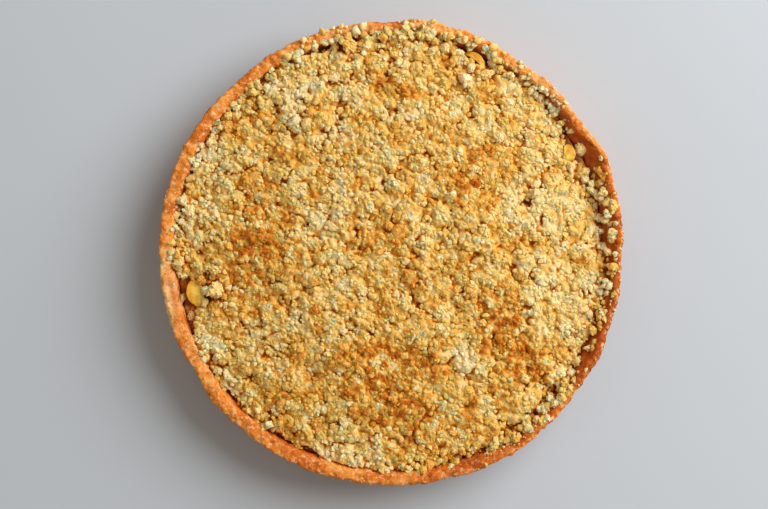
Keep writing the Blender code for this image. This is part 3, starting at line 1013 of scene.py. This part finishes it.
def best_spot(bed, size, outward, draw):
    """Of a few random places, the one where the heap lies lowest against its goal."""
    spots = [random_spot(bed, outward, size * 0.2, draw) for _ in range(TRIES)]
    free = [spot for spot in spots if bed.free(*spot, size / 2)]
    return max(free, key=lambda spot: bed.room(*spot, size / 2)) if free else None


def settle(bed, x, y, size, sunk):
    """Lays a crumb on the bed. Gives its middle's height, and how proud of the goal it lies."""
    middle = bed.height(x, y, size / 2) + size / 2 * sunk
    bed.lay(x, y, middle, size / 2)
    return middle, middle + size * 0.4 - bed.goal[bed.cell(x), bed.cell(y)]


def lay_kind(bed, kind, draw):
    """The crumbs of one kind, the largest first, and before the nuggets those that can be told
    apart. The prouder a crumb lies, the paler it is painted, and the lower, the darker: painted
    light and shade."""
    name, count, smallest, largest, cuts, lobes, outward, sunk = kind
    forms = crumb_forms(cuts, lobes, draw)
    sizes = sorted((draw.uniform(smallest, largest) for _ in range(count)), reverse=True)
    placed = []
    for angle, radius, size in NUGGETS if name == "crumbs_nugget" else ():
        x, y, _ = on_circle(radius, 0.0, angle)
        middle = settle(bed, x, y, size, NUGGET_SUNK)[0]
        placed.append((*random_crumb(size, draw), (x, y, middle), NUGGET_TOAST))
    for size in sizes:
        spot = best_spot(bed, size, outward, draw)
        if spot is None:
            continue
        middle, proud = settle(bed, *spot, size, draw.uniform(*sunk))
        proud = min(PROUD_LIMIT, max(-PROUD_LIMIT, proud))
        # Painted light and shade: crumbs standing proud are coloured paler and sunk ones darker
        extra = PAINTED_PROUD_LIGHT * proud + draw.gauss(0.0, CHANCE_TOAST)
        placed.append((*random_crumb(size, draw), (*spot, middle), extra))
    return name, forms, placed


def lay_edge_crumbs(bed, draw):
    """Crumbs that lie against the rim or rolled onto its inner edge, fewer along the bays."""
    forms = crumb_forms(3, 6, draw)
    placed = []
    low, high = EDGE_CRUMB_REACH
    while len(placed) < EDGE_CRUMBS:
        pick = draw.randrange(len(bed.wall))
        angle = 360.0 * pick / len(bed.wall)
        reach = float(swell(angle, EDGE_OVERHANGS))
        bare = EDGE_BARE_SHARE + OVERHANG_BARE * reach + swell(angle, EDGE_BARE)
        if draw.random() < float(bare + BAY_BARE * swell(angle, CORE_BAYS)):
            continue
        size = draw.uniform(*EDGE_CRUMB_SIZE)
        radius = float(bed.wall[pick]) + draw.uniform(low, high + OVERHANG_REACH * reach)
        x, y, _ = on_circle(radius, 0.0, angle)
        middle = settle(bed, x, y, size, draw.uniform(*EDGE_CRUMB_SUNK))[0]
        extra = draw.uniform(*EDGE_CRUMB_TOAST)
        placed.append((*random_crumb(size, draw), (x, y, middle), extra))
    return "crumbs_at_edge", forms, placed


def hexagon_rings(rings):
    """A round sheet of even triangles: a hexagon's six, cut finely."""
    sheet = bmesh.new()
    bmesh.ops.create_circle(sheet, cap_ends=True, cap_tris=True, segments=6, radius=1.0)
    bmesh.ops.subdivide_edges(sheet, edges=sheet.edges[:], cuts=rings - 1, use_grid_fill=True)
    return sheet


def rounded_rings(points):
    """A hexagon's points: the share of the way out, and the angle once the ring is round."""
    radius, angle = polar(points)
    angle = angle - 90.0
    within = angle % 60.0
    share = radius * np.cos(np.radians(within - 30.0)) / math.cos(math.radians(30.0))
    first, second = np.sin(np.radians(60.0 - within)), np.sin(np.radians(within))
    return share, (angle - within + 60.0 * second / (first + second)) % 360.0


def build_core(bed, material):
    """The body of the heap under its crumbs, rough where it shows between them."""
    sheet = hexagon_rings(CORE_RINGS)
    edge = [e for e in sheet.edges if e.is_boundary]
    skirt = bmesh.ops.extrude_edge_only(sheet, edges=edge)["geom"]
    foot = [v for v in skirt if isinstance(v, bmesh.types.BMVert)]
    for vertex in foot:
        vertex.co.z = -1.0
    rim = [e for e in skirt if isinstance(e, bmesh.types.BMEdge)]
    bmesh.ops.contextual_create(sheet, geom=rim)
    mesh = mesh_from(sheet, "crumble_core")
    points = points_of(mesh)
    low = points[:, 2] < -0.5
    share, angle = rounded_rings(points)
    radius = share * (inner_wall(FILL_LEVEL, angle) + 0.2 * MM)
    radius = radius - swell(angle, CORE_BAYS) * share**8
    plan = on_circle(radius, 0.0, angle)
    i, j = map_cells(plan)
    uneven = bent(plan, 4 * MM, 1, 1.6)
    crumbs, _ = cobbles(uneven, 3.0 * MM, 8.0)
    grains, _ = cobbles(uneven, 1.5 * MM, 3.0)
    rough = (crumbs - 0.6) * 1.9 * MM + (grains - 0.6) * 0.8 * MM
    floor = FILL_LEVEL + FIT_GAP
    top = bed.core[i, j] + rough
    plan[:, 2] = np.where(low, floor, np.maximum(top, floor + 0.3 * MM))
    move_points(mesh, plan)
    store(mesh, "toast", toasting(plan) + (crumbs - 0.6) * 0.25)
    # deep paints shade into the crevices
    store(mesh, "deep", bed.depth(plan))
    turn = bmesh.new()
    turn.from_mesh(mesh)
    turn.normal_update()
    bmesh.ops.recalc_face_normals(turn, faces=turn.faces[:])
    turn.to_mesh(mesh)
    turn.free()
    return finished("crumble_core", mesh, material, "crumble", "crumble_topping")


def rim_surface(share, angle):
    """A point of the rim's rounded top: share 0 is its inner side and 1 its outer."""
    shoulder = CASE_HEIGHT - RIM_CROWN
    middle = (outer_radius(shoulder) + inner_radius(shoulder)) / 2
    radius, level = rim_section(middle, shoulder, share)
    return on_circle(*pressed(radius, level, angle), angle)


def lay_rim_crumbs(draw):
    """Crumbs that fell on the rim and stuck there in the oven."""
    forms = crumb_forms(2, 4, draw)
    placed = []
    for first, last, count, smallest, largest in RIM_CRUMBS:
        for _ in range(count):
            size = smallest + (largest - smallest) * draw.random() ** 2
            share = RIM_CRUMB_START + RIM_CRUMB_SPREAD * draw.random() ** RIM_CRUMB_CROWDING
            spot = rim_surface(share, draw.uniform(first, last))
            spot[2] += size * RIM_CRUMB_RISE
            placed.append((*random_crumb(size, draw), spot, draw.uniform(-0.25, 0.25)))
    return "crumbs_on_rim", forms, placed


def lay_rim_grains(draw):
    """Grains of baked sugar and flour that catch the light along the rim."""
    forms = crumb_forms(1, 1, draw)
    placed = []
    for _ in range(RIM_GRAINS):
        size = draw.uniform(*RIM_GRAIN_SIZE)
        spot = rim_surface(draw.uniform(0.1, 1.0), draw.uniform(0, 360))
        spot[2] += size * RIM_GRAIN_RISE
        placed.append((*random_crumb(size, draw), spot, draw.uniform(-0.1, 0.4)))
    return "grains_on_rim", forms, placed


def slice_cage(sizes):
    """A curved wedge of apple on its edge, in its own axes."""
    _, _, length, thickness, height, _, curve = sizes
    cage = bmesh.new()
    bmesh.ops.create_cube(cage, size=1.0)
    along = [e for e in cage.edges if abs(e.verts[0].co.x - e.verts[1].co.x) > 0.5]
    bmesh.ops.subdivide_edges(cage, edges=along, cuts=SLICE_CUTS, use_grid_fill=True)
    crease = cage.edges.layers.float.new("crease_edge")
    for edge in cage.edges:
        top = all(v.co.z > 0 for v in edge.verts)
        side = any(abs(f.normal.z) < 0.5 for f in edge.link_faces)
        edge[crease] = SLICE_CREASE if top and side else 0.0
    for vertex in cage.verts:
        x, y, z = vertex.co
        ends = 1.0 - SLICE_TAPER * (2 * x) ** 2
        bend = curve * length * (1.0 - (2 * x) ** 2)
        up = (z + 0.5) * height * (ends if z > 0 else 1.0)
        vertex.co = (x * length, y * thickness * ends - bend, up)
    return cage


def build_slice(node, sizes, material):
    """An apple slice in its solid's place, rounded, with soft uneven flesh."""
    angle, radius = sizes[:2]
    mesh = mesh_from(slice_cage(sizes), node + "_flesh")
    turn = Matrix.Rotation(math.radians(angle + 90.0 + sizes[5]), 4, "Z")
    spot = Vector(on_circle(radius, FILL_LEVEL + FIT_GAP, angle))
    mesh.transform(Matrix.Translation(spot) @ turn)
    rounded = added("rounding", mesh)
    modifier = rounded.modifiers.new("Round", "SUBSURF")
    modifier.levels = modifier.render_levels = SLICE_ROUNDING
    graph = bpy.context.evaluated_depsgraph_get()
    fine = bpy.data.meshes.new_from_object(rounded.evaluated_get(graph))
    bpy.data.objects.remove(rounded)
    fine.name = node + "_flesh"
    points = points_of(fine)
    face = FILL_LEVEL + FIT_GAP + sizes[4] * 0.72
    over = points[:, 2] - face
    points[:, 2] = np.where(over > 0.0, face + over * 0.3, points[:, 2])
    soft = waves(points, 3.2 * MM, 2, 2.0) * 0.28 * MM
    move_points(fine, points + vectors(fine.vertex_normals, "vector") * soft[:, None])
    away = polar(points)[0] - radius
    low = (FILL_LEVEL + sizes[4] - points[:, 2]) / sizes[4]
    outer = smooth((away / sizes[3] - 0.15) / 0.25)
    store(fine, "amber", held(0.6 * low + 0.8 * outer))
    return finished(node + "_flesh", fine, material, "apple", node)


def build_floor(settings):
    sheet = bmesh.new()
    bmesh.ops.create_grid(sheet, x_segments=2, y_segments=2, size=settings.floor_size / 2)
    floor = added("floor", mesh_from(sheet, "floor"))
    floor.data.materials.append(tabletop(settings))


def build_camera():
    """Straight above, framed so that the rim is as wide as its size in the picture says."""
    pixel = RIM_RADIUS / RIM_RADIUS_PIXELS
    data = bpy.data.cameras.new("camera")
    data.sensor_width = SENSOR_WIDTH * 1000
    data.lens = SENSOR_WIDTH * 1000 * CAMERA_HEIGHT / (pixel * PHOTO_WIDTH)
    data.dof.use_dof = False
    camera = added("camera", data)
    left, down = PIE_OFFSET_PIXELS
    camera.location = (-left * pixel, -down * pixel, CASE_HEIGHT + CAMERA_HEIGHT)
    bpy.context.scene.camera = camera


def add_area_light(name, watts, place, size, colour):
    data = bpy.data.lights.new(name, "AREA")
    data.shape = "DISK"
    data.size = size
    data.energy = watts
    data.color = linear(colour)
    lamp = added(name, data)
    lamp.location = place
    lamp.rotation_euler = (-Vector(place)).to_track_quat("-Z", "Y").to_euler()


def build_lights(settings):
    add_area_light("window", settings.key_watts, *WINDOW)
    add_area_light("bounce", settings.fill_watts, *BOUNCE)
    world = bpy.data.worlds.new("studio")
    world.use_nodes = True
    sky = world.node_tree.nodes["Background"]
    sky.inputs["Color"].default_value = rgba(SKY_COLOUR)
    sky.inputs["Strength"].default_value = settings.sky_strength
    bpy.context.scene.world = world
    bpy.context.scene.view_settings.view_transform = "Standard"


def colour_setting(name, description, hex_colour):
    return bpy.props.FloatVectorProperty(
        name=name, description=description, subtype="COLOR", default=linear(hex_colour)
    )


def watts_setting(name, description, watts):
    return bpy.props.FloatProperty(
        name=name, description=description, default=watts, unit="POWER"
    )


class CrumblePieSettings(bpy.types.PropertyGroup):
    crust_step: bpy.props.FloatProperty(
        name="Crust step",
        description="Distance between the crust mesh's points along its section",
        default=0.0008,
        unit="LENGTH",
    )
    crust_turns: bpy.props.IntProperty(
        name="Crust turns", description="Steps round the crust", default=900
    )
    crust_colour: colour_setting("Crust", "Main colour of the baked shortcrust", "E0842C")
    crumble_colour: colour_setting("Crumble", "Golden colour of the crumbs", "DDA248")
    syrup_colour: colour_setting("Syrup", "Main colour of the filling", "9E4A04")
    apple_colour: colour_setting("Apple", "Main colour of the slices that show", "D8AC3C")
    table_colour: colour_setting("Table colour", "Colour of the tabletop", "B3BBC5")
    key_watts: watts_setting("Window light", "Power of the main soft light", 45.5)
    fill_watts: watts_setting("Bounce light", "Power of the weak light opposite", 1.5)
    sky_strength: bpy.props.FloatProperty(
        name="Room light", description="Strength of the light from all round", default=0.36
    )
    floor_size: bpy.props.FloatProperty(
        name="Table", description="Width of the tabletop", default=6.0, unit="LENGTH"
    )


class PIE_OT_case(bpy.types.Operator):
    """Build the pastry case"""

    bl_idname = "crumble_pie.case"
    bl_label = "Pastry case"

    def execute(self, context):
        build_case(context.scene.crumble_pie)
        return {"FINISHED"}


class PIE_OT_filling(bpy.types.Operator):
    """Build the apple filling"""

    bl_idname = "crumble_pie.filling"
    bl_label = "Apple filling"

    def execute(self, context):
        build_filling(context.scene.crumble_pie)
        return {"FINISHED"}


class PIE_OT_slices(bpy.types.Operator):
    """Build the apple slices that show"""

    bl_idname = "crumble_pie.slices"
    bl_label = "Apple slices"

    def execute(self, context):
        material = baked_apple(context.scene.crumble_pie)
        for node, sizes in APPLE_SLICES.items():
            build_slice(node, sizes, material)
        return {"FINISHED"}


class PIE_OT_crumble(bpy.types.Operator):
    """Build the heap's core and lay the crumbs on it, the largest first"""

    bl_idname = "crumble_pie.crumble"
    bl_label = "Crumble"

    def execute(self, context):
        settings = context.scene.crumble_pie
        bed = CrumbBed()
        draw = random.Random(CRUMB_SEED)
        laid = [lay_kind(bed, kind, draw) for kind in CRUMB_KINDS]
        laid += [lay_edge_crumbs(bed, draw), lay_rim_crumbs(draw), lay_rim_grains(draw)]
        bed.rest()
        material = butter_crumble(settings)
        build_core(bed, material)
        for name, forms, placed in laid:
            mesh = joined(name, forms, placed, bed)
            finished(name, mesh, material, "crumble")
            mesh.set_sharp_from_angle(angle=math.radians(CRISP_ANGLE))
        return {"FINISHED"}


class PIE_OT_stage(bpy.types.Operator):
    """Build the table, the camera and the lights"""

    bl_idname = "crumble_pie.stage"
    bl_label = "Stage"

    def execute(self, context):
        settings = context.scene.crumble_pie
        build_floor(settings)
        build_camera()
        build_lights(settings)
        return {"FINISHED"}


class PIE_PT_panel(bpy.types.Panel):
    bl_label = "Apple crumble pie"
    bl_idname = "PIE_PT_panel"
    bl_space_type = "VIEW_3D"
    bl_region_type = "UI"
    bl_category = "Crumble pie"

    def draw(self, context):
        settings = context.scene.crumble_pie
        for name in settings.bl_rna.properties.keys():
            if name not in ("rna_type", "name"):
                self.layout.prop(settings, name)
        for operator in OPERATORS:
            self.layout.operator(operator.bl_idname)


OPERATORS = (PIE_OT_stage, PIE_OT_case, PIE_OT_filling, PIE_OT_slices, PIE_OT_crumble)
CLASSES = (CrumblePieSettings, *OPERATORS, PIE_PT_panel)


def register():
    for cls in CLASSES:
        bpy.utils.register_class(cls)
    bpy.types.Scene.crumble_pie = bpy.props.PointerProperty(type=CrumblePieSettings)


def unregister():
    del bpy.types.Scene.crumble_pie
    for cls in reversed(CLASSES):
        bpy.utils.unregister_class(cls)


def main():
    register()
    bpy.ops.crumble_pie.stage()
    bpy.ops.crumble_pie.case()
    bpy.ops.crumble_pie.filling()
    bpy.ops.crumble_pie.slices()
    bpy.ops.crumble_pie.crumble()


if __name__ == "__main__":
    main()
